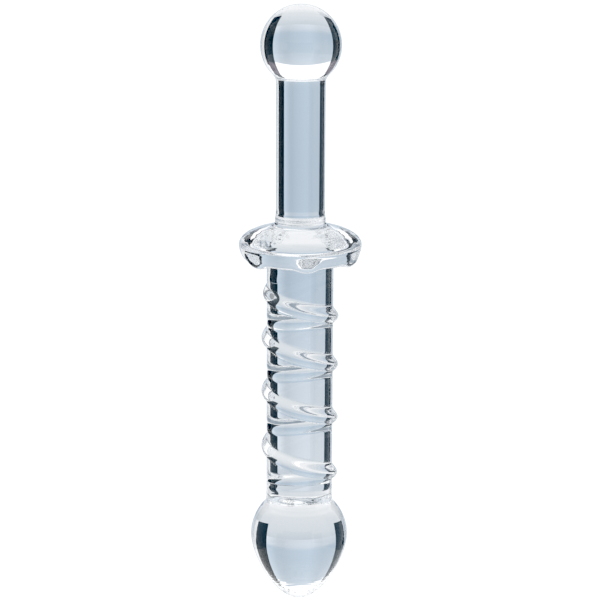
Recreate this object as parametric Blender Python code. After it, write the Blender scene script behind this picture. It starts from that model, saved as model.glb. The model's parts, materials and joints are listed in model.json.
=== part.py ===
"""Flame-worked glass wand: ball handle, domed flange, spiral-trailed shaft and pear-shaped tip.

The real object is clear borosilicate glass, built up in the flame from separate gathers that are welded
end to end. Each gather is one named solid here. The axis is +Z, ball end up, and the origin is the lowest
point of the tip. Run it with blender --background --python part.py.
"""

import math

import bmesh
import bpy

MM = 0.001

# Driving dimensions, in millimetres. Heights are measured up from the tip's lowest point.
WELD_GAP = 0.3
BALL_RADIUS = 14.7
BALL_CENTRE_Z = 209.5
ROD_RADIUS = 8.95
SHAFT_RADIUS = 12.25
BULB_RADIUS = 18.1
BULB_WIDEST_Z = 25.0
BULB_SHOULDER_HEIGHT = 13.0

# Where one gather ends and the next begins.
NECK_TOP_Z = 197.9
NECK_BOTTOM_Z = 195.1
HANDLE_COLLAR_TOP_Z = 146.3
FLANGE_TOP_Z = 143.0
FLANGE_SEAT_Z = 130.3
FLANGE_BOSS_BOTTOM_Z = 129.3
SHAFT_BOTTOM_Z = 42.7
TIP_COLLAR_RADIUS = 12.55
TIP_COLLAR_BOTTOM_Z = 38.4

# The flange: a dome above its widest line, and below it a lip with pulled lobes round a flat seat.
FLANGE_RADIUS = 22.5
FLANGE_WIDEST_HEIGHT = 6.3
DOME_RISE = 7.75
DOME_TOP_RADIUS = 11.3
SEAT_INNER_RADIUS = 13.2
SEAT_OUTER_RADIUS = 19.6
LOBE_COUNT = 6
FIRST_LOBE_DEG = -82.5
LOBE_HALF_WIDTH_DEG = 9.0
LOBE_DROP = 1.9
LOBE_BULGE = 0.7

# The spiral trail: a left-handed helix whose pitch grows towards the tip, counted in half turns.
TRAIL_START_DEG = 180.0
TRAIL_START_Z = 118.6
TRAIL_DROP = 8.57
TRAIL_DROP_GROWTH = 0.188
TRAIL_FIRST_HALF_TURN = -0.4
TRAIL_LAST_HALF_TURN = 7.4
TRAIL_HALF_WIDTH = 3.5
TRAIL_HEIGHT = 1.95
TRAIL_TAPER_HALF_TURNS = 0.45
TRAIL_BLUNT_END = 0.25
TRAIL_STEPS = 125
TRAIL_CROWN_POINTS = 6

TURNED_STEPS = 48
FLANGE_STEPS = 96
BALL_RINGS = 24
BULB_RINGS = 10
DOME_RINGS = 6


def clear_scene():
    for obj in list(bpy.data.objects):
        bpy.data.objects.remove(obj)


def make_glass(name, tint, roughness):
    """Clear glass with a faint tint, as a Principled shader."""
    material = bpy.data.materials.new(name)
    material.use_nodes = True
    shader = material.node_tree.nodes["Principled BSDF"]
    shader.inputs["Base Color"].default_value = (*tint, 1.0)
    shader.inputs["Roughness"].default_value = roughness
    shader.inputs["Metallic"].default_value = 0.0
    shader.inputs["IOR"].default_value = 1.47
    shader.inputs["Transmission Weight"].default_value = 1.0
    return material


def add_object(name, mesh, material):
    mesh.materials.append(material)
    mesh.shade_smooth()
    mesh.set_sharp_from_angle(angle=math.radians(35))
    obj = bpy.data.objects.new(name, mesh)
    bpy.context.scene.collection.objects.link(obj)
    return obj


def turned_bmesh(profile, steps):
    """Spins a profile of (radius, height) points about the axis into one closed body."""
    bm = bmesh.new()
    points = [bm.verts.new((radius * MM, 0.0, height * MM)) for radius, height in profile]
    edges = [bm.edges.new(pair) for pair in zip(points, points[1:])]
    bmesh.ops.spin(
        bm,
        geom=points + edges,
        cent=(0.0, 0.0, 0.0),
        axis=(0.0, 0.0, 1.0),
        angle=2.0 * math.pi,
        steps=steps,
        use_merge=True,
    )
    bmesh.ops.remove_doubles(bm, verts=bm.verts, dist=0.001 * MM)
    bmesh.ops.recalc_face_normals(bm, faces=bm.faces)
    return bm


def mesh_from(name, bm):
    mesh = bpy.data.meshes.new(name)
    bm.to_mesh(mesh)
    bm.free()
    return mesh


def turned_piece(name, profile, material):
    return add_object(name, mesh_from(name, turned_bmesh(profile, TURNED_STEPS)), material)


def make_ball_end(material):
    """A gathered ball, cut flat where it is welded to the neck."""
    cut_z = NECK_TOP_Z + WELD_GAP - BALL_CENTRE_Z
    bm = bmesh.new()
    bmesh.ops.create_uvsphere(bm, u_segments=TURNED_STEPS, v_segments=BALL_RINGS, radius=BALL_RADIUS * MM)
    bmesh.ops.bisect_plane(
        bm,
        geom=bm.verts[:] + bm.edges[:] + bm.faces[:],
        plane_co=(0.0, 0.0, cut_z * MM),
        plane_no=(0.0, 0.0, -1.0),
        clear_outer=True,
    )
    rim = [edge for edge in bm.edges if edge.is_boundary]
    bmesh.ops.contextual_create(bm, geom=rim)
    bmesh.ops.recalc_face_normals(bm, faces=bm.faces)
    ball = add_object("ball_end", mesh_from("ball_end", bm), material)
    ball.location.z = BALL_CENTRE_Z * MM
    return ball


def make_ball_neck(material):
    """The short weld under the ball, flaring into it."""
    profile = [
        (0.0, NECK_TOP_Z),
        (ROD_RADIUS + 0.32, NECK_TOP_Z),
        (ROD_RADIUS + 0.08, NECK_TOP_Z - 0.4),
        (ROD_RADIUS, NECK_TOP_Z - 0.9),
        (ROD_RADIUS, NECK_BOTTOM_Z),
        (0.0, NECK_BOTTOM_Z),
    ]
    return turned_piece("ball_neck_weld", profile, material)


def make_handle_rod(material):
    """The plain solid rod that the hand grips."""
    top = NECK_BOTTOM_Z - WELD_GAP
    bottom = HANDLE_COLLAR_TOP_Z + WELD_GAP
    bm = bmesh.new()
    bmesh.ops.create_cone(
        bm,
        cap_ends=True,
        segments=TURNED_STEPS,
        radius1=ROD_RADIUS * MM,
        radius2=ROD_RADIUS * MM,
        depth=(top - bottom) * MM,
    )
    rod = add_object("handle_rod", mesh_from("handle_rod", bm), material)
    rod.location.z = (top + bottom) / 2 * MM
    return rod


def make_handle_collar(material):
    """The collar at the rod's foot: a slight bead, then a flare onto the dome."""
    foot = FLANGE_TOP_Z + WELD_GAP
    profile = [
        (0.0, HANDLE_COLLAR_TOP_Z),
        (ROD_RADIUS, HANDLE_COLLAR_TOP_Z),
        (ROD_RADIUS + 0.35, HANDLE_COLLAR_TOP_Z - 0.9),
        (ROD_RADIUS + 0.3, HANDLE_COLLAR_TOP_Z - 1.7),
        (ROD_RADIUS + 0.85, foot + 0.7),
        (DOME_TOP_RADIUS, foot),
        (0.0, foot),
    ]
    return turned_piece("handle_collar", profile, material)


def dome_point(angle):
    """A point of the dome above the seat, from 0 degrees at the axis to 90 at the widest line."""
    return (FLANGE_RADIUS * math.sin(angle), FLANGE_WIDEST_HEIGHT + DOME_RISE * math.cos(angle))


def flange_profile():
    """Top flat, dome, widest line, notch, lip, flat seat and the boss over the shaft, from the seat up."""
    top = FLANGE_TOP_Z - FLANGE_SEAT_Z
    boss = FLANGE_BOSS_BOTTOM_Z - FLANGE_SEAT_Z
    first = math.asin(DOME_TOP_RADIUS / FLANGE_RADIUS) + math.radians(3)
    last = math.radians(90)
    dome = [dome_point(first + (last - first) * i / DOME_RINGS) for i in range(DOME_RINGS + 1)]
    return [
        (0.0, top),
        (DOME_TOP_RADIUS, top),
        *dome,
        (FLANGE_RADIUS - 0.2, 4.4),
        (FLANGE_RADIUS - 0.8, 3.1),
        (FLANGE_RADIUS - 0.7, 2.1),
        (FLANGE_RADIUS - 1.3, 0.8),
        (FLANGE_RADIUS - 2.2, 0.1),
        (SEAT_OUTER_RADIUS, 0.0),
        (SEAT_INNER_RADIUS, 0.0),
        (SHAFT_RADIUS + 0.4, boss + 0.3),
        (SHAFT_RADIUS, boss),
        (0.0, boss),
    ]


def lobe_share(angle_deg):
    """1 at the middle of a lobe, falling smoothly to 0 between lobes."""
    spacing = 360.0 / LOBE_COUNT
    off = (angle_deg - FIRST_LOBE_DEG + spacing / 2) % spacing - spacing / 2
    return math.exp(-((off / LOBE_HALF_WIDTH_DEG) ** 2))


def make_flange(material):
    """The domed flange, with lobes pulled down and out of its lower rim."""
    bm = turned_bmesh(flange_profile(), FLANGE_STEPS)
    rim_depth = FLANGE_WIDEST_HEIGHT * MM
    for vert in bm.verts:
        radius = math.hypot(vert.co.x, vert.co.y)
        if radius < (SEAT_OUTER_RADIUS + 0.1) * MM or vert.co.z > rim_depth:
            continue
        share = lobe_share(math.degrees(math.atan2(vert.co.y, vert.co.x)))
        depth = min(1.0, (rim_depth - vert.co.z) / (rim_depth / 2))
        grown = 1.0 + share * depth * LOBE_BULGE * MM / radius
        vert.co.x *= grown
        vert.co.y *= grown
        vert.co.z -= share * depth * LOBE_DROP * MM
    flange = add_object("flange_disc", mesh_from("flange_disc", bm), material)
    flange.location.z = FLANGE_SEAT_Z * MM
    return flange


def make_shaft(material):
    """The solid rod that carries the spiral trail."""
    top = FLANGE_BOSS_BOTTOM_Z - WELD_GAP
    bm = bmesh.new()
    bmesh.ops.create_cone(
        bm,
        cap_ends=True,
        segments=TURNED_STEPS,
        radius1=SHAFT_RADIUS * MM,
        radius2=SHAFT_RADIUS * MM,
        depth=(top - SHAFT_BOTTOM_Z) * MM,
    )
    shaft = add_object("shaft_rod", mesh_from("shaft_rod", bm), material)
    shaft.location.z = (top + SHAFT_BOTTOM_Z) / 2 * MM
    return shaft


def trail_section(half_turn):
    """One cross-section of the trail as points in space: a flat foot on the shaft and a round crown."""
    angle = math.radians(TRAIL_START_DEG + 180.0 * half_turn)
    middle_z = TRAIL_START_Z - TRAIL_DROP * half_turn - TRAIL_DROP_GROWTH * half_turn**2
    to_end = min(half_turn - TRAIL_FIRST_HALF_TURN, TRAIL_LAST_HALF_TURN - half_turn)
    swell = min(1.0, to_end / TRAIL_TAPER_HALF_TURNS)
    size = TRAIL_BLUNT_END + (1.0 - TRAIL_BLUNT_END) * math.sin(swell * math.pi / 2)
    foot_radius = SHAFT_RADIUS + WELD_GAP
    outline = []
    for i in range(TRAIL_CROWN_POINTS + 1):
        across = -math.cos(math.pi * i / TRAIL_CROWN_POINTS)
        crown = (1.0 - across**2) * (TRAIL_HEIGHT - WELD_GAP)
        outline.append((foot_radius + crown * size + 0.05, across * TRAIL_HALF_WIDTH * size))
    outline.append((foot_radius, TRAIL_HALF_WIDTH * size))
    outline.append((foot_radius, -TRAIL_HALF_WIDTH * size))
    return [
        (radius * math.cos(angle) * MM, radius * math.sin(angle) * MM, (middle_z + up) * MM)
        for radius, up in outline
    ]


def make_trail(material):
    """The trail of cane wound round the shaft, bridged from section to section and capped."""
    span = TRAIL_LAST_HALF_TURN - TRAIL_FIRST_HALF_TURN
    bm = bmesh.new()
    rings = []
    for i in range(TRAIL_STEPS + 1):
        section = trail_section(TRAIL_FIRST_HALF_TURN + span * i / TRAIL_STEPS)
        rings.append([bm.verts.new(point) for point in section])
    for ring, following in zip(rings, rings[1:]):
        for i, vert in enumerate(ring):
            j = (i + 1) % len(ring)
            bm.faces.new((vert, ring[j], following[j], following[i]))
    bm.faces.new(rings[0])
    bm.faces.new(rings[-1])
    bmesh.ops.recalc_face_normals(bm, faces=bm.faces)
    return add_object("spiral_trail", mesh_from("spiral_trail", bm), material)


def make_tip_collar(material):
    """The ring of glass where shaft and tip are welded."""
    top = SHAFT_BOTTOM_Z - WELD_GAP
    profile = [
        (0.0, top),
        (SHAFT_RADIUS, top),
        (TIP_COLLAR_RADIUS, top - 0.8),
        (TIP_COLLAR_RADIUS, TIP_COLLAR_BOTTOM_Z + 0.8),
        (SHAFT_RADIUS, TIP_COLLAR_BOTTOM_Z),
        (0.0, TIP_COLLAR_BOTTOM_Z),
    ]
    return turned_piece("tip_collar", profile, material)


def bulb_radius_at(height):
    """The tip's outline: a blunt point below the widest line and a rounded shoulder above it."""
    if height <= BULB_WIDEST_Z:
        down = (BULB_WIDEST_Z - height) / BULB_WIDEST_Z
        return BULB_RADIUS * (1.0 - down**1.5) ** (1.0 / 1.75)
    up = (height - BULB_WIDEST_Z) / BULB_SHOULDER_HEIGHT
    return BULB_RADIUS - (BULB_RADIUS - SHAFT_RADIUS) * up**2.2


def make_bulb(material):
    """The solid pear-shaped tip."""
    top = TIP_COLLAR_BOTTOM_Z - WELD_GAP
    shoulder = [top + (BULB_WIDEST_Z - top) * i / BULB_RINGS for i in range(BULB_RINGS)]
    turns = [math.pi / 2 * i / BULB_RINGS for i in range(BULB_RINGS + 1)]
    point = [BULB_WIDEST_Z * (1.0 - math.sin(turn)) for turn in turns]
    profile = [(0.0, top)]
    profile += [(bulb_radius_at(z), z) for z in shoulder + point]
    return turned_piece("bulb_tip", profile, material)


def build():
    clear_scene()
    glass = make_glass("clear_borosilicate_glass", (0.93, 0.96, 0.98), 0.02)
    make_ball_end(glass)
    make_ball_neck(glass)
    make_handle_rod(glass)
    make_handle_collar(glass)
    make_flange(glass)
    make_shaft(glass)
    make_trail(glass)
    make_tip_collar(glass)
    make_bulb(glass)


build()
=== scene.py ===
# %% [markdown]
# # A flame-worked glass wand in a studio
#
# The wand is one piece of clear borosilicate glass. A lampworker builds it from gathers that are melted
# together: a ball, a handle rod, a domed flange, a thick shaft with a spiral trail wound round it, and a
# pear-shaped tip. Clear glass has almost no look of its own. What the eye sees is the room, bent by the
# glass, so this lesson has two halves: a very smooth surface, and a studio set that is worth bending.

# %% Load the frame
import math

import json

import bpy
import numpy as np
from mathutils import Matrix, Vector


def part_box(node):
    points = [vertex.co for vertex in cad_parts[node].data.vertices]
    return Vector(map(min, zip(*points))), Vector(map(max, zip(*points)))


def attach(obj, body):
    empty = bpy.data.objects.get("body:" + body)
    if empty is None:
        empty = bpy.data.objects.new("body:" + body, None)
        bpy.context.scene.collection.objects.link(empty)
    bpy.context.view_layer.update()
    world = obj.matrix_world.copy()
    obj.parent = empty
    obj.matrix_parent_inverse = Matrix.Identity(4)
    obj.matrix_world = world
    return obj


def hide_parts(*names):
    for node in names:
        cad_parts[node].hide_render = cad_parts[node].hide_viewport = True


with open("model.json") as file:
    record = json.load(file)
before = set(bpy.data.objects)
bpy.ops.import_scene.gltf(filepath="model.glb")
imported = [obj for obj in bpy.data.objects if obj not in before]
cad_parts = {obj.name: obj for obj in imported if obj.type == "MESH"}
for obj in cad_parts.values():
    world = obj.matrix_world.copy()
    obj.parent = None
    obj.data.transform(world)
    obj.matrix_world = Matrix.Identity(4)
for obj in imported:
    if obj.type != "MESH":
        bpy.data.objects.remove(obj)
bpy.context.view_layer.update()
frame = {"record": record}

MM = 0.001
BODY = "root"


def node_box(name):
    """A CAD node's lowest and highest corners, in millimetres."""
    low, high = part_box(name)
    return [value / MM for value in low], [value / MM for value in high]


def node_heights(name):
    """A CAD node's lowest and highest point, in millimetres."""
    low, high = node_box(name)
    return low[2], high[2]


def node_radius(name):
    """A CAD node's greatest radius about the wand's axis, along X, in millimetres."""
    low, high = node_box(name)
    return (high[0] - low[0]) / 2


# %% [markdown]
# ## Sizes
#
# The main sizes come from the CAD model: where one gather ends, how thick the rods are, how wide the ball,
# flange and tip are. Neighbouring CAD nodes keep a small gap, and the glass is fused, so each weld goes in
# the middle of the gap above the lower of the two. Only the roundings between them are set here, in
# millimetres like everything else.

# %% Sizes from the frame
WELD_GAP = 0.3
ORDER = ["bulb_tip", "tip_collar", "shaft_rod", "flange_disc", "handle_collar", "handle_rod"]
ORDER += ["ball_neck_weld", "ball_end"]
WELDS = [node_heights(lower)[1] + WELD_GAP / 2 for lower in ORDER[:-1]]
BULB_WELD, COLLAR_WELD, SEAT_WELD, DOME_WELD, ROD_WELD, NECK_WELD, BALL_WELD = WELDS
TOP = node_heights("ball_end")[1]
BALL_RADIUS = node_radius("ball_end")
ROD_RADIUS = node_radius("handle_rod")
SHAFT_RADIUS = node_radius("shaft_rod")
FLANGE_RADIUS = node_radius("flange_disc")
BULB_RADIUS = node_radius("bulb_tip")
BALL_CENTRE = TOP - BALL_RADIUS
SEAT_HEIGHT = frame["record"]["mounts"][0]["pos_m"][2] / MM
BULB_WIDEST = 25.0
FLANGE_WIDEST = SEAT_HEIGHT + 6.3
DOME_RISE = 7.6
DOME_FULLNESS = 0.95
BOX_MARGIN = 0.01
print("weld heights in mm:", [round(height, 2) for height in WELDS])

# %% [markdown]
# ## The outline
#
# The wand is turned, so its surface starts as half an outline, from the tip up to the ball's top, that is
# spun round the axis. Each stretch is a short list of radius and height, or a formula where the shape is
# round. A Bezier curve with automatic handles runs smoothly through the points, which is how soft glass
# behaves: it has no corners, because surface tension rounds every one of them.

# %% Outline points
BULB_ROWS = 9
SHOULDER_ROWS = 6
POINT_TAPER = 1.5
POINT_ROUNDNESS = 1.75
SHOULDER_TAPER = 2.2
COLLAR_FLARE = 0.45
NECK_FLARE = 1.1
BALL_ROWS = 14


def bulb_outline():
    """A blunt, pear-shaped tip: a drawn-out point below its widest line and a round shoulder above it."""
    points = []
    for i in range(BULB_ROWS + 1):
        height = BULB_WIDEST * (1.0 - math.sin(math.pi / 2 * (BULB_ROWS - i) / BULB_ROWS))
        below = 1.0 - height / BULB_WIDEST
        points.append((BULB_RADIUS * (1.0 - below**POINT_TAPER) ** (1 / POINT_ROUNDNESS), height))
    shoulder = BULB_WELD - BULB_WIDEST
    narrowing = BULB_RADIUS - SHAFT_RADIUS - COLLAR_FLARE
    for i in range(1, SHOULDER_ROWS):
        up = i / SHOULDER_ROWS
        points.append((BULB_RADIUS - narrowing * up**SHOULDER_TAPER, BULB_WIDEST + shoulder * up))
    return points


def tip_collar_outline():
    """A soft fillet where tip and shaft are fused."""
    return [
        (SHAFT_RADIUS + COLLAR_FLARE, BULB_WELD),
        (SHAFT_RADIUS + 0.2, BULB_WELD + 0.9),
        (SHAFT_RADIUS + 0.02, BULB_WELD + 2.0),
        (SHAFT_RADIUS + 0.05, BULB_WELD + 2.9),
        (SHAFT_RADIUS, COLLAR_WELD),
        (SHAFT_RADIUS, COLLAR_WELD + 1.2),
    ]


def shaft_outline():
    """The plain rod. The rows that carry the trail are added later."""
    return [
        (SHAFT_RADIUS, COLLAR_WELD + 2.0),
        (SHAFT_RADIUS, SEAT_WELD - 2.2),
    ]


def flange_outline():
    """The fillet under the flange, a nearly flat seat, the steep lip, the widest line and the dome."""
    points = [
        (SHAFT_RADIUS, SEAT_WELD - 1.4),
        (SHAFT_RADIUS + 0.1, SEAT_WELD),
        (SHAFT_RADIUS + 0.95, SEAT_HEIGHT),
        (SHAFT_RADIUS + 3.3, SEAT_HEIGHT + 0.05),
        (FLANGE_RADIUS - 4.3, SEAT_HEIGHT + 0.35),
        (FLANGE_RADIUS - 2.6, SEAT_HEIGHT + 0.9),
        (FLANGE_RADIUS - 1.5, SEAT_HEIGHT + 1.9),
        (FLANGE_RADIUS - 0.85, SEAT_HEIGHT + 3.0),
        (FLANGE_RADIUS - 0.35, SEAT_HEIGHT + 4.3),
        (FLANGE_RADIUS - 0.12, SEAT_HEIGHT + 5.4),
    ]
    for degrees in (90, 78, 66, 54, 43, 35):
        turn = math.radians(degrees)
        out, up = math.sin(turn) ** DOME_FULLNESS, math.cos(turn) ** DOME_FULLNESS
        points.append(((FLANGE_RADIUS - BOX_MARGIN) * out, FLANGE_WIDEST + DOME_RISE * up))
    return points


def handle_collar_outline():
    """The flare off the dome and a low bead round the rod's foot."""
    return [
        (ROD_RADIUS + 2.5, DOME_WELD),
        (ROD_RADIUS + 1.2, DOME_WELD + 0.6),
        (ROD_RADIUS + 0.45, DOME_WELD + 1.3),
        (ROD_RADIUS + 0.3, DOME_WELD + 2.0),
        (ROD_RADIUS + 0.34, ROD_WELD - 0.4),
        (ROD_RADIUS + 0.22, ROD_WELD + 0.4),
    ]


def handle_outline():
    """The plain grip, with the first part of the flare into the ball."""
    return [
        (ROD_RADIUS + 0.06, ROD_WELD + 1.4),
        (ROD_RADIUS, ROD_WELD + 2.6),
        (ROD_RADIUS, NECK_WELD - 1.0),
        (ROD_RADIUS, NECK_WELD),
        (ROD_RADIUS + 0.08, NECK_WELD + 1.3),
        (ROD_RADIUS + 0.35, BALL_WELD - 0.3),
    ]


def ball_outline():
    """The ball, from where the neck's fillet meets it up to the pole."""
    sweep = math.pi - math.asin((ROD_RADIUS + NECK_FLARE) / BALL_RADIUS)
    points = []
    for i in range(BALL_ROWS + 1):
        turn = sweep - sweep * i / BALL_ROWS
        points.append((BALL_RADIUS * math.sin(turn), BALL_CENTRE + BALL_RADIUS * math.cos(turn)))
    return points


outline = bulb_outline() + tip_collar_outline() + shaft_outline() + flange_outline()
outline += handle_collar_outline() + handle_outline() + ball_outline()
print("outline points:", len(outline))

# %% [markdown]
# ## Spinning the skin
#
# The whole skin is made in one go, from the tip to the ball, and only then cut into pieces. Glass shows
# every fault in a surface's direction, so two neighbours have to agree about it where they meet. When both
# are cut from one skin, they do.

# %% Helpers for selecting and drawing
SPIN_STEPS = 240
CURVE_STEPS = 14
SHAFT_CUTS = 19
MERGE_REACH = 0.002


def clear_selection():
    """Back to object mode with nothing selected."""
    if bpy.context.object and bpy.context.object.mode != "OBJECT":
        bpy.ops.object.mode_set(mode="OBJECT")
    bpy.ops.object.select_all(action="DESELECT")


def make_active(obj):
    clear_selection()
    obj.select_set(True)
    bpy.context.view_layer.objects.active = obj


def draw_outline(points):
    """A Bezier curve through the points, made a chain of edges."""
    clear_selection()
    bpy.ops.curve.primitive_bezier_curve_add(location=(0, 0, 0))
    curve = bpy.context.object
    spline = curve.data.splines[0]
    spline.bezier_points.add(len(points) - len(spline.bezier_points))
    for knot, (radius, height) in zip(spline.bezier_points, points):
        knot.co = (radius * MM, 0.0, height * MM)
        knot.handle_left_type = "AUTO"
        knot.handle_right_type = "AUTO"
    curve.data.resolution_u = CURVE_STEPS
    bpy.ops.object.convert(target="MESH")
    return bpy.context.object


def select_edges(obj, test):
    """In edit mode, selects the edges whose middle passes the test."""
    bpy.ops.object.mode_set(mode="EDIT")
    bpy.ops.mesh.select_mode(type="EDGE")
    bpy.ops.mesh.select_all(action="DESELECT")
    bpy.ops.object.mode_set(mode="OBJECT")
    coords = [vert.co for vert in obj.data.vertices]
    for edge in obj.data.edges:
        first, second = edge.vertices
        edge.select = bool(test((coords[first] + coords[second]) / 2))
    bpy.ops.object.mode_set(mode="EDIT")


# %% Draw the outline and spin it
skin = draw_outline(outline)
make_active(skin)
low_row, high_row = (COLLAR_WELD + 2.1) * MM, (SEAT_WELD - 2.3) * MM
select_edges(skin, lambda middle: low_row < middle.z < high_row)
bpy.ops.mesh.subdivide(number_cuts=SHAFT_CUTS)
bpy.ops.mesh.select_all(action="SELECT")
bpy.ops.mesh.spin(steps=SPIN_STEPS, angle=2 * math.pi, center=(0, 0, 0), axis=(0, 0, 1))
bpy.ops.mesh.select_all(action="SELECT")
bpy.ops.mesh.remove_doubles(threshold=MERGE_REACH * MM)
bpy.ops.mesh.normals_make_consistent(inside=False)
bpy.ops.object.mode_set(mode="OBJECT")
skin.name = "glass_skin"
print("skin faces:", len(skin.data.polygons))

# %% [markdown]
# ## The spiral trail, the lobes and the hand's unevenness
#
# On the real shaft the trail is a cane of hot glass wound on by hand, and its flanks have melted into the
# rod. So the skin isn't given a separate tube: its points are pushed out along a left-handed helix by a
# soft hump. The winding is uneven, so the heights where the trail passes the left and right side are a
# short list, smoothed with a curve. The flange's lower lip is pulled down in six lobes in the same way.

# %% Sizes of the trail, the lobes and the unevenness
TRAIL_SIDES = [127.0, 118.6, 109.7, 101.5, 91.3, 81.2, 71.1, 60.0, 49.6, 39.5]
TRAIL_FIRST, TRAIL_LAST = -0.5, 7.95
TRAIL_RISE = 1.95
TRAIL_ABOVE, TRAIL_BELOW = 3.9, 2.7
CURVE_ABOVE, CURVE_BELOW = 1.8, 1.1
TRAIL_TAPER = 0.8
LOBES = 6
LOBE_FIRST = math.radians(-82.5)
LOBE_HALF_WIDTH = math.radians(11.0)
LOBE_DROP, LOBE_BULGE = 1.2, 0.2
LOBE_FROM, LOBE_FADE = 16.5, 3.0
LIP_FADE = 4.0
RIPPLE, RIPPLE_LENGTH = 0.02, 2.7
STRIAE, STRIAE_LENGTH = 0.025, 1.9
BEAD_ABOVE_WELD, BEAD_WIDTH = 2.6, 1.2
print("trail's half turns:", TRAIL_LAST - TRAIL_FIRST)


# %% How far the trail and the lobes stand out
def smooth_step(value):
    """0 below 0, 1 above 1, and a soft S between them."""
    value = np.clip(value, 0.0, 1.0)
    return value * value * (3.0 - 2.0 * value)


def trail_height(half_turn):
    """The height of the trail's middle, with the turn counted in half turns from the left side."""
    place = np.clip(half_turn + 1.0, 0.0, len(TRAIL_SIDES) - 1.001)
    i = place.astype(int)
    t = place - i
    before = 2 * TRAIL_SIDES[0] - TRAIL_SIDES[1]
    after = 2 * TRAIL_SIDES[-1] - TRAIL_SIDES[-2]
    sides = np.array([before, *TRAIL_SIDES, after])
    a, b, c, d = sides[i], sides[i + 1], sides[i + 2], sides[i + 3]
    return b + 0.5 * t * (c - a + t * (2 * a - 5 * b + 4 * c - d + t * (3 * (b - c) + d - a)))


def trail_rise(points):
    """How far the trail stands out at each point of the shaft, in mm."""
    turn = (np.arctan2(points[:, 1], points[:, 0]) / math.pi - 1.0) % 2.0
    rise = np.zeros(len(points))
    for first in range(-2, len(TRAIL_SIDES), 2):
        half_turn = turn + first
        grown = smooth_step(np.minimum(half_turn - TRAIL_FIRST, TRAIL_LAST - half_turn) / TRAIL_TAPER)
        off = points[:, 2] - trail_height(half_turn)
        width = np.where(off > 0.0, TRAIL_ABOVE, TRAIL_BELOW) * (0.6 + 0.4 * grown)
        foot_curve = np.where(off > 0.0, CURVE_ABOVE, CURVE_BELOW)
        hump = np.clip(1.0 - (off / width) ** 2, 0.0, 1.0) ** foot_curve
        rise = np.maximum(rise, TRAIL_RISE * grown * hump)
    return rise


def lobe_share(angle):
    """1 at the middle of a lobe of the flange's lip, falling to 0 between lobes."""
    spacing = 2 * math.pi / LOBES
    off = (angle - LOBE_FIRST + spacing / 2) % spacing - spacing / 2
    return np.exp(-(np.abs(off / LOBE_HALF_WIDTH) ** 3))


# %% A mesh as an array, and back
def read_points(mesh):
    """A mesh's points in mm, one row each."""
    flat = np.empty(len(mesh.vertices) * 3)
    mesh.vertices.foreach_get("co", flat)
    return flat.reshape(-1, 3) / MM


def write_points(mesh, points):
    """Puts an array of points in mm back into the mesh."""
    mesh.vertices.foreach_set("co", (points * MM).ravel())
    mesh.update()


def face_middles(mesh):
    """The middles of a mesh's faces in mm, one row each."""
    flat = np.empty(len(mesh.polygons) * 3)
    mesh.polygons.foreach_get("center", flat)
    return flat.reshape(-1, 3) / MM


# %% Push the skin out
stretch = np.searchsorted(np.array(WELDS), face_middles(skin.data)[:, 2])

points = read_points(skin.data)
radius = np.hypot(points[:, 0], points[:, 1])
angle = np.arctan2(points[:, 1], points[:, 0])
height = points[:, 2]

on_shaft = (height > COLLAR_WELD) & (height < SEAT_WELD)
rise = np.where(on_shaft, trail_rise(points), 0.0)

# The lip is pulled down in lobes that fade out towards the widest line and towards the shaft.
on_lip = (radius > SHAFT_RADIUS + 0.2) & (height > SEAT_WELD) & (height < FLANGE_WIDEST)
depth = np.where(on_lip, smooth_step((FLANGE_WIDEST - height) / LIP_FADE), 0.0)
depth *= smooth_step((radius - LOBE_FROM) / LOBE_FADE)
lobe = lobe_share(angle) * depth

# The paddle leaves faint rings on the dome.
on_dome = (radius > ROD_RADIUS + 2.5) & (height > FLANGE_WIDEST) & (height < DOME_WELD)
ripple = RIPPLE * np.sin(2 * math.pi * radius / RIPPLE_LENGTH) * smooth_step((21.0 - radius) / 3.0)
ripple = np.where(on_dome, ripple, 0.0)

# The weld between tip and shaft isn't quite round.
sway = 0.12 * np.sin(3 * angle + 0.7) + 0.1 * np.sin(5 * angle + height / 9.0)
bead = np.exp(-(((height - BULB_WELD - BEAD_ABOVE_WELD) / BEAD_WIDTH) ** 2))

# Near the tip's end the drawn-out glass has wavy streaks.
wander = 0.7 * np.sin(2 * angle + 0.6) + 0.4 * np.sin(5 * angle)
striae = STRIAE * np.sin(2 * math.pi * (height + wander) / STRIAE_LENGTH)
striae *= smooth_step((height - 2.5) / 2.0) * smooth_step((14.0 - height) / 5.0)

grown = 1.0 + (rise + lobe * LOBE_BULGE + bead * sway + striae) / np.maximum(radius, 0.001)
points[:, 0] *= grown
points[:, 1] *= grown
points[:, 2] += ripple - lobe * LOBE_DROP
write_points(skin.data, points)

# %% [markdown]
# ## Keeping the directions
#
# Smooth shading works from each point's direction, which is an average over the faces round it. At a cut
# half of those faces are gone, and the direction tips over. So the directions are measured now, while the
# skin is whole, and stored on the points, where every copy of the skin carries them along.

# %% Store the directions and the trail's height
trail_mark = skin.data.attributes.new("trail_rise", "FLOAT", "POINT")
trail_mark.data.foreach_set("value", rise)
directions = np.empty(len(skin.data.vertices) * 3)
skin.data.vertex_normals.foreach_get("vector", directions)
direction_mark = skin.data.attributes.new("direction", "FLOAT_VECTOR", "POINT")
direction_mark.data.foreach_set("vector", directions)
print("highest trail in mm:", round(float(rise.max()), 2))

# %% [markdown]
# ## Two materials: the surface and the weld
#
# A gather's outside is glass. Where it is fused to its neighbour there is no surface at all, so light must
# pass straight through. Each piece is still a closed body, so its weld faces get a plain Transparent
# shader. With air gaps there instead, every weld would flash like a mirror.

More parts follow.
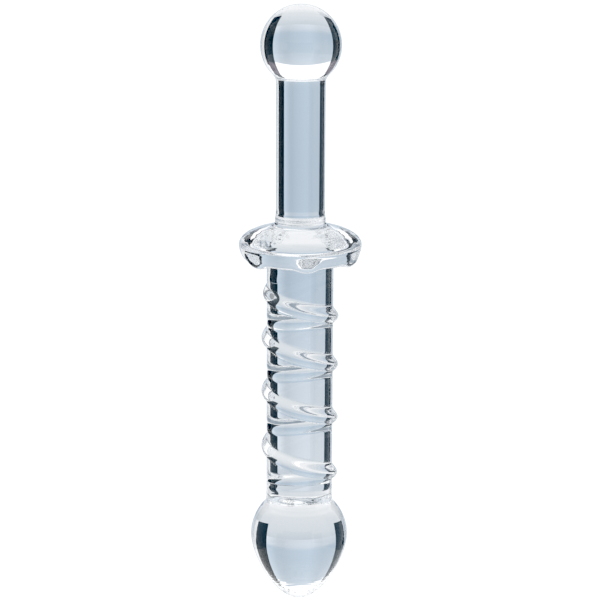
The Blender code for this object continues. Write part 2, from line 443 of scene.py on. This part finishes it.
# %% A small helper for shader maths
class Value:
    """A shader socket that takes part in Python sums."""

    def __init__(self, tree, socket):
        self.tree = tree
        self.socket = socket

    def math(self, operation, *others):
        """A Math node on this value and the others."""
        return self.tree.node("ShaderNodeMath", {"operation": operation}, self, *others)

    def __add__(self, other):
        return self.math("ADD", other)

    def __radd__(self, other):
        return self.math("ADD", other)

    def __sub__(self, other):
        return self.math("SUBTRACT", other)

    def __rsub__(self, other):
        return self.tree.node("ShaderNodeMath", {"operation": "SUBTRACT"}, other, self)

    def __mul__(self, other):
        return self.math("MULTIPLY", other)

    def __rmul__(self, other):
        return self.math("MULTIPLY", other)

    def __truediv__(self, other):
        return self.math("DIVIDE", other)


class Tree:
    """A material's node tree: one method adds any node."""

    def __init__(self, name):
        self.material = bpy.data.materials.new(name)
        self.material.use_nodes = True
        self.nodes = self.material.node_tree.nodes
        self.links = self.material.node_tree.links
        self.nodes.clear()

    def node(self, kind, settings=None, *values, out=0, **named):
        """Adds a node, sets its settings, then gives its sockets values or links."""
        node = self.nodes.new(kind)
        for key, value in (settings or {}).items():
            setattr(node, key, value)
        for key, value in [*enumerate(values), *named.items()]:
            socket = node.inputs[key if isinstance(key, int) else key.replace("_", " ")]
            if isinstance(value, Value):
                self.links.new(value.socket, socket)
            else:
                socket.default_value = value
        return Value(self, node.outputs[out])

    def finish(self, surface):
        """Links the shader to the output and hands over the material."""
        output = self.nodes.new("ShaderNodeOutputMaterial")
        self.links.new(surface.socket, output.inputs["Surface"])
        return self.material


# %% [markdown]
# ## The glass
#
# Borosilicate bends light a little less than window glass. A Principled shader with full transmission and
# no roughness does it all: refraction, the mirror-like shine at shallow angles and light that is trapped
# inside. A noise about two thousandths of a millimetre high stands for what the flame left behind.

# %% The glass and the weld
GLASS_IOR = 1.47
FIRE_WAVES = 0.000002


def make_glass(name):
    """Clear borosilicate glass, with the very slight unevenness that the fire leaves as bump."""
    tree = Tree(name)
    place = tree.node("ShaderNodeTexCoord", out=3)
    slow = tree.node("ShaderNodeTexNoise", {}, Vector=place, Scale=70.0, Detail=1.0)
    fine = tree.node("ShaderNodeTexNoise", {}, Vector=place, Scale=260.0, Detail=2.0)
    uneven = slow * 0.8 + fine * 0.2
    bump = tree.node("ShaderNodeBump", {}, Strength=1.0, Distance=FIRE_WAVES, Height=uneven)
    surface = tree.node(
        "ShaderNodeBsdfPrincipled",
        {},
        Base_Color=(0.985, 0.993, 1.0, 1.0),
        Roughness=0.0,
        IOR=GLASS_IOR,
        Transmission_Weight=1.0,
        Normal=bump,
    )
    return tree.finish(surface)


def make_weld():
    """No surface at all, for the faces where two gathers are fused."""
    tree = Tree("fused_weld")
    return tree.finish(tree.node("ShaderNodeBsdfTransparent", {}))


rod_glass = make_glass("drawn_rod_glass")
gather_glass = make_glass("gathered_glass")
weld = make_weld()
print("materials:", rod_glass.name, gather_glass.name, weld.name)

# %% [markdown]
# ## Cutting the skin into gathers
#
# Each piece is a copy of the skin. The faces outside its own stretch are deleted, and every open ring is
# closed with a weld face. Then the directions that were measured on the whole skin are put back, so the
# surface runs on smoothly across the weld.

# %% Copy a piece and delete faces
def copy_of(obj, name):
    """A copy with a mesh of its own."""
    make_active(obj)
    bpy.ops.object.duplicate(linked=False)
    copy = bpy.context.object
    copy.name = name
    copy.data.name = name
    return copy


def delete_faces(obj, doomed):
    """Deletes the faces marked True in a list with one entry for each face."""
    make_active(obj)
    bpy.ops.object.mode_set(mode="EDIT")
    bpy.ops.mesh.select_mode(type="FACE")
    bpy.ops.mesh.select_all(action="DESELECT")
    bpy.ops.object.mode_set(mode="OBJECT")
    obj.data.polygons.foreach_set("select", doomed)
    bpy.ops.object.mode_set(mode="EDIT")
    bpy.ops.mesh.delete(type="FACE")
    bpy.ops.object.mode_set(mode="OBJECT")


# %% [markdown]
# ## Closing the cuts
#
# A cut leaves an open ring of edges that have a face on one side only. Blender can select those, and the
# ring nearest a weld's height is filled with one face. Its neighbour's ring is the same, so the two weld
# faces lie on each other and light crosses both unchanged.

# %% Close the rings
def open_edges(obj):
    """The middle height in mm of each edge that has a face on one side only, by the edge's number."""
    make_active(obj)
    bpy.ops.object.mode_set(mode="EDIT")
    bpy.ops.mesh.select_mode(type="EDGE")
    bpy.ops.mesh.select_all(action="DESELECT")
    bpy.ops.mesh.select_non_manifold(
        extend=False, use_wire=False, use_multi_face=False, use_non_contiguous=False, use_verts=False
    )
    bpy.ops.object.mode_set(mode="OBJECT")
    verts = obj.data.vertices
    heights = {}
    for edge in obj.data.edges:
        if edge.select:
            first, second = edge.vertices
            heights[edge.index] = (verts[first].co.z + verts[second].co.z) / 2 / MM
    bpy.ops.object.mode_set(mode="EDIT")
    bpy.ops.mesh.select_all(action="DESELECT")
    bpy.ops.object.mode_set(mode="OBJECT")
    return heights


RING_REACH = 1.0
GLASS_SLOT, WELD_SLOT = 0, 1


def close_rings(obj, levels):
    """Closes the open ring nearest each height with one weld face."""
    for level in levels:
        for number, height in open_edges(obj).items():
            obj.data.edges[number].select = abs(height - level) < RING_REACH
        bpy.ops.object.mode_set(mode="EDIT")
        bpy.ops.mesh.edge_face_add()
        bpy.ops.object.mode_set(mode="OBJECT")
        obj.data.polygons[-1].material_index = WELD_SLOT


# %% From a stretch of skin to a finished piece
def restore_directions(obj):
    """Uses the whole skin's directions for shading this piece."""
    mesh = obj.data
    flat = np.empty(len(mesh.vertices) * 3)
    mesh.attributes["direction"].data.foreach_get("vector", flat)
    mesh.shade_smooth()
    mesh.normals_split_custom_set_from_vertices(flat.reshape(-1, 3).tolist())
    for mark in ("direction", "trail_rise"):
        mesh.attributes.remove(mesh.attributes[mark])


def finish_piece(obj, node):
    """Parents the piece to the body and hides the CAD node that it stands for."""
    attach(obj, BODY)
    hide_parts(node)
    print(f"{obj.name}: {len(obj.data.polygons)} faces")


def cut_piece(name, node, glass):
    """One gather's stretch of the skin as a closed piece that stands for its CAD node."""
    number = ORDER.index(node)
    piece = copy_of(skin, name)
    delete_faces(piece, stretch != number)
    piece.data.materials.append(glass)
    piece.data.materials.append(weld)
    close_rings(piece, WELDS[max(number - 1, 0) : number + 1])
    return piece


# %% Cut the seven plain gathers
GATHERS = {
    "tip_glass": ("bulb_tip", gather_glass),
    "tip_collar_glass": ("tip_collar", gather_glass),
    "flange_glass": ("flange_disc", gather_glass),
    "handle_collar_glass": ("handle_collar", gather_glass),
    "handle_glass": ("handle_rod", rod_glass),
    "ball_neck_glass": ("ball_neck_weld", gather_glass),
    "ball_glass": ("ball_end", gather_glass),
}
for name, (node, glass) in GATHERS.items():
    piece = cut_piece(name, node, glass)
    restore_directions(piece)
    finish_piece(piece, node)

# %% [markdown]
# ## The shaft and its trail
#
# The trail is a piece of its own, so the skin is parted along the trail's footprint. Under the footprint
# the shaft goes on as a plain round rod, and the trail sits on it with a weld face of the same shape.

# %% Mark the trail's footprint
FOOT_RADIUS = SHAFT_RADIUS - 0.05
FOOT_EDGE = 0.004
SAME_POINT = 0.0001

shaft = cut_piece("shaft_glass", "shaft_rod", rod_glass)


def vertex_values(mesh, name):
    """One number for each point, from a mark on the mesh."""
    values = np.empty(len(mesh.vertices))
    mesh.attributes[name].data.foreach_get("value", values)
    return values


def mark_trail(mesh):
    """Marks the faces that the trail covers, and on the mesh the points that only those faces touch."""
    covered = vertex_values(mesh, "trail_rise") > FOOT_EDGE
    corners = [list(face.vertices) for face in mesh.polygons]
    foot = np.array([covered[face].any() for face in corners])
    buried = np.ones(len(mesh.vertices))
    for face in np.flatnonzero(~foot):
        buried[corners[face]] = 0.0
    foot &= np.array([buried[face].any() for face in corners])
    mesh.attributes.new("buried", "FLOAT", "POINT").data.foreach_set("value", buried)
    return foot


def sink_buried(mesh):
    """Brings the buried points down to the round rod."""
    buried = vertex_values(mesh, "buried") > 0.5
    points = read_points(mesh)
    radius = np.hypot(points[:, 0], points[:, 1])
    scale = np.where(buried, FOOT_RADIUS / np.maximum(radius, 0.001), 1.0)
    points[:, 0] *= scale
    points[:, 1] *= scale
    write_points(mesh, points)


# %% Lift the trail off
foot = mark_trail(shaft.data)
print("faces under the trail:", int(foot.sum()))
trail = copy_of(shaft, "trail_glass")
delete_faces(trail, ~foot)
trail_foot = copy_of(trail, "trail_foot")
sink_buried(trail_foot.data)
foot_slots = np.full(len(trail_foot.data.polygons), WELD_SLOT, dtype=np.int32)
trail_foot.data.polygons.foreach_set("material_index", foot_slots)
make_active(trail_foot)
bpy.ops.object.mode_set(mode="EDIT")
bpy.ops.mesh.select_all(action="SELECT")
bpy.ops.mesh.flip_normals()
bpy.ops.object.mode_set(mode="OBJECT")
trail_foot.select_set(True)
trail.select_set(True)
bpy.context.view_layer.objects.active = trail
bpy.ops.object.join()
bpy.ops.object.mode_set(mode="EDIT")
bpy.ops.mesh.select_all(action="SELECT")
bpy.ops.mesh.remove_doubles(threshold=SAME_POINT * MM)
bpy.ops.object.mode_set(mode="OBJECT")

# %% Finish the shaft and the trail
sink_buried(shaft.data)
slots = np.full(len(foot), GLASS_SLOT, dtype=np.int32)
shaft.data.polygons.foreach_get("material_index", slots)
slots[foot] = WELD_SLOT
shaft.data.polygons.foreach_set("material_index", slots)

for piece, node in ((shaft, "shaft_rod"), (trail, "spiral_trail")):
    piece.data.attributes.remove(piece.data.attributes["buried"])
    restore_directions(piece)
    finish_piece(piece, node)
bpy.data.objects.remove(skin)

# %% [markdown]
# ## The studio set
#
# Clear glass on white is lit by what stands round it. A blue-grey backdrop fills the middle of every rod,
# and dark flags beside it draw the dark lines near the edges, which give the glass its shape. Bright
# strips outside the flags whiten the outline, and pale walls at the sides and in front keep the flange and
# the trail light. Two flags stand close in, so that only the ball sees them. Flags, strips, walls and table
# are seen only through the glass and in its shine, as if they stood outside the picture.

# %% Distances and the black level
NEAR, FAR = 500.0, 1000.0
CLOSE = 200.0
CARD_STEPS = 24
TABLE_HEIGHT = -255.0
FLOOR_HEIGHT = -260.0
PRINT_BLACK = (0.052, 0.048, 0.045)
print("cards stand at, in mm:", CLOSE, NEAR, FAR)


# %% Light that changes along a card
def linear(*srgb):
    """The light that comes out as a colour given in 0 to 255 screen values, above the black level."""
    light = [(v / 255 / 12.92) if v <= 10 else ((v / 255 + 0.055) / 1.055) ** 2.4 for v in srgb]
    return tuple(value * (1.0 - black) + black for value, black in zip(light, PRINT_BLACK))


def ramp(tree, value, low, high, stops):
    """Colours along a value that runs from low to high."""
    node = tree.node("ShaderNodeValToRGB", {}, (value - low) / (high - low))
    elements = node.socket.node.color_ramp.elements
    while len(elements) < len(stops):
        elements.new(0.5)
    for element, (where, colour) in zip(elements, stops):
        element.position = (where - low) / (high - low)
        element.color = (*colour, 1.0)
    return node


def glow(name, stops, across=None):
    """A card's light: colours up the card and, if given, brighter and darker bands across it."""
    tree = Tree(name)
    place = tree.node("ShaderNodeTexCoord", out=3)
    up = tree.node("ShaderNodeSeparateXYZ", {}, place, out=2) / MM
    colour = ramp(tree, up, stops[0][0], stops[-1][0], stops)
    strength = 1.0
    if across:
        right = tree.node("ShaderNodeSeparateXYZ", {}, place, out=0)
        behind = tree.node("ShaderNodeSeparateXYZ", {}, place, out=1)
        turn = tree.node("ShaderNodeMath", {"operation": "ARCTANGENT"}, right / behind)
        turn = turn * math.degrees(1.0)
        bands = [(where, (share - 1.0,) * 3) for where, share in across]
        strength = ramp(tree, turn, across[0][0], across[-1][0], bands) + 1.0
    return tree.finish(tree.node("ShaderNodeEmission", {}, colour, strength))


# %% Stand a card up
def show_through_glass_only(card):
    """Hides a card from the camera and keeps its shadow and light off the floor."""
    card.visible_camera = False
    card.visible_shadow = False
    card.visible_diffuse = False


def add_card(name, distance, start, end, low, high, material):
    """A curved card round the wand. Angles are in degrees from straight behind, positive to the right."""
    card = draw_outline([(distance, low), (distance, high)])
    make_active(card)
    bpy.ops.object.mode_set(mode="EDIT")
    bpy.ops.mesh.select_all(action="SELECT")
    bpy.ops.mesh.spin(steps=CARD_STEPS, angle=math.radians(end - start), center=(0, 0, 0), axis=(0, 0, 1))
    bpy.ops.object.mode_set(mode="OBJECT")
    card.rotation_euler.z = math.radians(90.0 - start)
    bpy.ops.object.transform_apply(location=False, rotation=True, scale=False)
    card.name = name
    card.data.materials.append(material)
    show_through_glass_only(card)


# %% [markdown]
# ## Colours of the set
#
# The backdrop is darkest behind the handle and paler towards the table, which is why the shaft looks
# lighter than the handle. Two soft vertical bands keep it from looking painted. The flags aren't quite
# black: a trace of teal is what a dark cloth shows under studio light.

# %% Colours
BACKDROP_UP = [
    (-255.0, linear(206, 213, 221)),
    (-200.0, linear(200, 209, 218)),
    (-150.0, linear(192, 203, 214)),
    (-95.0, linear(177, 192, 206)),
    (0.0, linear(176, 191, 205)),
    (200.0, linear(184, 198, 210)),
    (445.0, linear(196, 206, 216)),
]
BACKDROP_ACROSS = [
    (-40.0, 1.05),
    (-20.0, 1.03),
    (-8.0, 1.16),
    (4.0, 1.09),
    (13.0, 1.0),
    (20.0, 1.02),
    (24.0, 1.12),
    (30.0, 1.22),
]


def dimmed(stops, share):
    """The same colours with only a share of the light."""
    return [(where, tuple(share * part for part in colour)) for where, colour in stops]


backdrop = glow("backdrop_light", BACKDROP_UP, BACKDROP_ACROSS)
front_wall = glow("front_light", dimmed(BACKDROP_UP, 0.6), BACKDROP_ACROSS)
BLACK = (0.0, 0.002, 0.004)
TEAL = (0.012, 0.03, 0.045)
GREY = (0.3, 0.32, 0.34)
WHITE = (1.0, 1.0, 1.0)
PALE = (0.75, 0.8, 0.86)
DULL = linear(215, 222, 232)
MAUVE = linear(112, 104, 118)
LOW, FLAG_TOP, STRIP_TOP = -210.0, 150.0, 560.0
black_flag = glow("flag_light", [(LOW, TEAL), (FLAG_TOP, BLACK)])
teal_flag = glow("teal_flag_light", [(LOW, TEAL), (FLAG_TOP, TEAL)])
grey_flag = glow("grey_flag_light", [(LOW, GREY), (FLAG_TOP, GREY)])
BALL_FLAG_UP = [
    (176.0, BLACK),
    (255.0, TEAL),
    (268.0, MAUVE),
    (330.0, MAUVE),
    (345.0, TEAL),
    (400.0, TEAL),
]
ball_flag = glow("ball_flag_light", BALL_FLAG_UP)
bright_strip = glow("strip_light", [(LOW, WHITE), (STRIP_TOP, WHITE)])
dull_strip = glow("dull_strip_light", [(LOW, DULL), (STRIP_TOP, DULL)])
side_wall = glow("side_light", [(LOW, PALE), (STRIP_TOP, PALE)])

# %% Stand the cards round the wand
CARDS = [
    ("back_backdrop", FAR, -40.0, 32.0, TABLE_HEIGHT, 445.0, backdrop),
    ("back_flag_left", NEAR, -60.0, -36.5, LOW, 400.0, teal_flag),
    ("back_flag_right", NEAR, 29.5, 51.0, LOW, 400.0, black_flag),
    ("ball_flag_left", CLOSE, -56.0, -34.5, 176.0, 400.0, ball_flag),
    ("ball_flag_right", CLOSE, 28.0, 44.0, 176.0, 400.0, ball_flag),
    ("strip_left", NEAR, -68.0, -60.0, LOW, STRIP_TOP, dull_strip),
    ("strip_right", NEAR, 51.0, 63.0, LOW, STRIP_TOP, bright_strip),
    ("side_left", NEAR, -98.0, -68.0, LOW, 400.0, side_wall),
    ("side_right", NEAR, 63.0, 98.0, LOW, 400.0, side_wall),
    ("front_backdrop", FAR, 148.0, 220.0, TABLE_HEIGHT, 445.0, front_wall),
    ("front_flag_left", NEAR, 124.0, 144.0, LOW, FLAG_TOP, grey_flag),
    ("front_flag_right", NEAR, 211.0, 234.0, LOW, FLAG_TOP, grey_flag),
]
for card in CARDS:
    add_card(*card)
print("cards round the wand:", len(CARDS))

# %% [markdown]
# ## Table, floor and world
#
# The floor and the world are plain and pale. A bright table just above the floor is seen only through the
# glass, so the tip and the flange have something bright to show without a glow on the floor itself.

# %% Table, floor and world
ROUND_CORNERS = 96
FLOOR_RADIUS = 12.0
FLOOR_COLOUR = (0.93, 0.93, 0.93, 1.0)
WORLD_LIGHT = 1.15
TABLE_OUT = [
    (0.0, (2.6, 2.15, 1.7)),
    (110.0, (2.6, 2.15, 1.7)),
    (165.0, linear(238, 240, 243)),
    (430.0, linear(241, 242, 244)),
    (560.0, linear(220, 225, 229)),
    (800.0, linear(212, 219, 225)),
    (1000.0, linear(202, 210, 218)),
]


def table_light():
    """The table's light: a warm pool under the wand, nearly white round it and blue-grey further out."""
    tree = Tree("table_light")
    place = tree.node("ShaderNodeTexCoord", out=3)
    out = tree.node("ShaderNodeVectorMath", {"operation": "LENGTH"}, place, out=1) / MM
    colour = ramp(tree, out, 0.0, FAR, TABLE_OUT)
    return tree.finish(tree.node("ShaderNodeEmission", {}, colour, 1.0))


clear_selection()
bpy.ops.mesh.primitive_circle_add(
    vertices=ROUND_CORNERS, radius=FAR * MM, fill_type="NGON", location=(0, 0, TABLE_HEIGHT * MM)
)
table = bpy.context.object
table.name = "pale_table"
bpy.ops.object.transform_apply(location=True, rotation=False, scale=False)
table.data.materials.append(table_light())
show_through_glass_only(table)

clear_selection()
bpy.ops.mesh.primitive_circle_add(
    vertices=ROUND_CORNERS, radius=FLOOR_RADIUS, fill_type="NGON", location=(0, 0, FLOOR_HEIGHT * MM)
)
floor = bpy.context.object
floor.name = "studio_floor"
floor_tree = Tree("pale_floor")
floor.data.materials.append(
    floor_tree.finish(floor_tree.node("ShaderNodeBsdfDiffuse", {}, FLOOR_COLOUR, 0.0))
)

world = bpy.data.worlds.new("studio_world")
world.use_nodes = True
background = world.node_tree.nodes["Background"]
background.inputs["Color"].default_value = (*WHITE, 1.0)
background.inputs["Strength"].default_value = WORLD_LIGHT
bpy.context.scene.world = world
print("table at", TABLE_HEIGHT, "mm, floor at", FLOOR_HEIGHT, "mm")

# %% [markdown]
# ## The camera and the view
#
# A long lens a little above the wand, so the rings show as narrow ellipses that open towards the tip.
# Light bounces many times inside the flange before it gets out, so the bounce limit is high. With a low
# one those paths end early and leave black specks. The view's black level sits a little above zero, so
# the dark flags come out black although the glass also mirrors pale walls.

# %% Camera
CAMERA_DISTANCE = 0.801
CAMERA_UP = math.radians(12.8)
CAMERA_ROLL = math.radians(0.25)
AIM_HEIGHT = 115.6 * MM
LENS = 130.4
SENSOR = 36.0
LIGHT_BOUNCES = 256

clear_selection()
bpy.ops.object.camera_add()
camera = bpy.context.object
camera.name = "studio_camera"
camera.data.lens = LENS
camera.data.sensor_width = SENSOR
back = CAMERA_DISTANCE * math.cos(CAMERA_UP)
camera.location = (0.0, -back, AIM_HEIGHT + CAMERA_DISTANCE * math.sin(CAMERA_UP))
camera.rotation_euler = (math.pi / 2 - CAMERA_UP, 0.0, 0.0)
camera.rotation_euler.rotate_axis("Z", CAMERA_ROLL)
bpy.context.scene.camera = camera

view = bpy.context.scene.view_settings
view.view_transform = "Standard"
view.use_curve_mapping = True
view.curve_mapping.black_level = PRINT_BLACK
view.curve_mapping.update()

paths = bpy.context.scene.cycles
paths.transmission_bounces = LIGHT_BOUNCES
paths.glossy_bounces = LIGHT_BOUNCES
paths.transparent_max_bounces = LIGHT_BOUNCES
paths.max_bounces = LIGHT_BOUNCES
print("camera at:", tuple(round(value, 3) for value in camera.location))

# %% Finish
bpy.context.view_layer.update()
